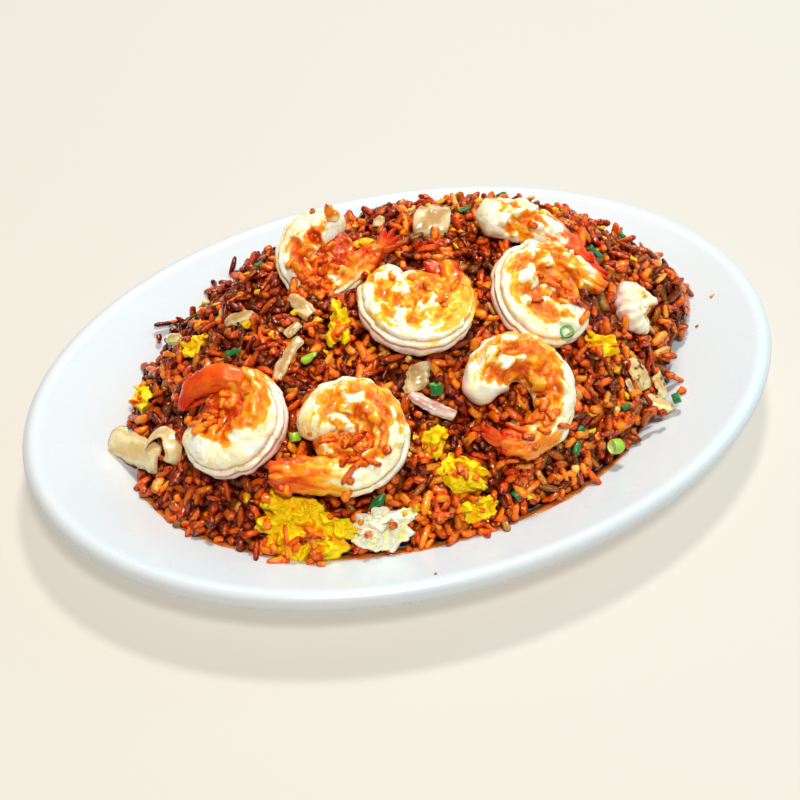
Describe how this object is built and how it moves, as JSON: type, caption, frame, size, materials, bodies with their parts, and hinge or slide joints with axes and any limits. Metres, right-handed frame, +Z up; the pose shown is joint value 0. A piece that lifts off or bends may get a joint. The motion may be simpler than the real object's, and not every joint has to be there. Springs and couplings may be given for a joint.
{
  "type": "shrimp fried rice on an oval platter",
  "caption": "Shrimp fried rice heaped on a white oval platter, topped with curled shrimp, torn egg flakes and onion strips.",
  "frame": {"origin": "on the table, under the middle of the platter", "axes": "+X along the platter's length, +Y towards the back of the dish, +Z up"},
  "size_m": [0.305, 0.215, 0.0838],
  "materials": {
    "egg_centre_lower": "soft scrambled egg",
    "egg_centre_upper": "soft scrambled egg",
    "egg_front_right": "soft scrambled egg",
    "egg_front_white": "soft scrambled egg",
    "egg_front_yolk": "soft scrambled egg",
    "egg_left_edge": "soft scrambled egg",
    "egg_left_lump": "soft scrambled egg",
    "egg_right": "soft scrambled egg",
    "egg_upper_left": "soft scrambled egg",
    "onion_back_round": "translucent, glossy",
    "onion_charred_lower": "translucent, glossy",
    "onion_charred_side": "translucent, glossy",
    "onion_charred_upper": "translucent, glossy",
    "onion_left_arch": "translucent, glossy",
    "onion_left_long": "translucent, glossy",
    "onion_long": "translucent, glossy",
    "onion_middle": "translucent, glossy",
    "onion_pink": "translucent, glossy",
    "onion_under_shrimp": "translucent, glossy",
    "onion_upper_left": "translucent, glossy",
    "white_glaze": "smooth white glaze",
    "rice_heap": "fried rice in dark sauce, moist",
    "shrimp_back_left": "seared, moist",
    "shrimp_back_right": "seared, moist",
    "shrimp_far_back": "seared, moist",
    "shrimp_far_right": "seared, moist",
    "shrimp_front_left": "seared, moist",
    "shrimp_front_middle": "seared, moist",
    "shrimp_front_right": "seared, moist",
    "shrimp_middle": "seared, moist"
  },
  "bodies": {
    "root": {"egg_centre_lower": "egg_centre_lower", "egg_centre_upper": "egg_centre_upper", "egg_front_right": "egg_front_right", "egg_front_white": "egg_front_white", "egg_front_yolk": "egg_front_yolk", "egg_left_edge": "egg_left_edge", "egg_left_lump": "egg_left_lump", "egg_right": "egg_right", "egg_upper_left": "egg_upper_left", "onion_back_round": "onion_back_round", "onion_charred_lower": "onion_charred_lower", "onion_charred_side": "onion_charred_side", "onion_charred_upper": "onion_charred_upper", "onion_left_arch": "onion_left_arch", "onion_left_long": "onion_left_long", "onion_long": "onion_long", "onion_middle": "onion_middle", "onion_pink": "onion_pink", "onion_under_shrimp": "onion_under_shrimp", "onion_upper_left": "onion_upper_left", "platter": "white_glaze", "rice_heap": "rice_heap", "shrimp_back_left": "shrimp_back_left", "shrimp_back_right": "shrimp_back_right", "shrimp_far_back": "shrimp_far_back", "shrimp_far_right": "shrimp_far_right", "shrimp_front_left": "shrimp_front_left", "shrimp_front_middle": "shrimp_front_middle", "shrimp_front_right": "shrimp_front_right", "shrimp_middle": "shrimp_middle"}
  },
  "joints": []
}
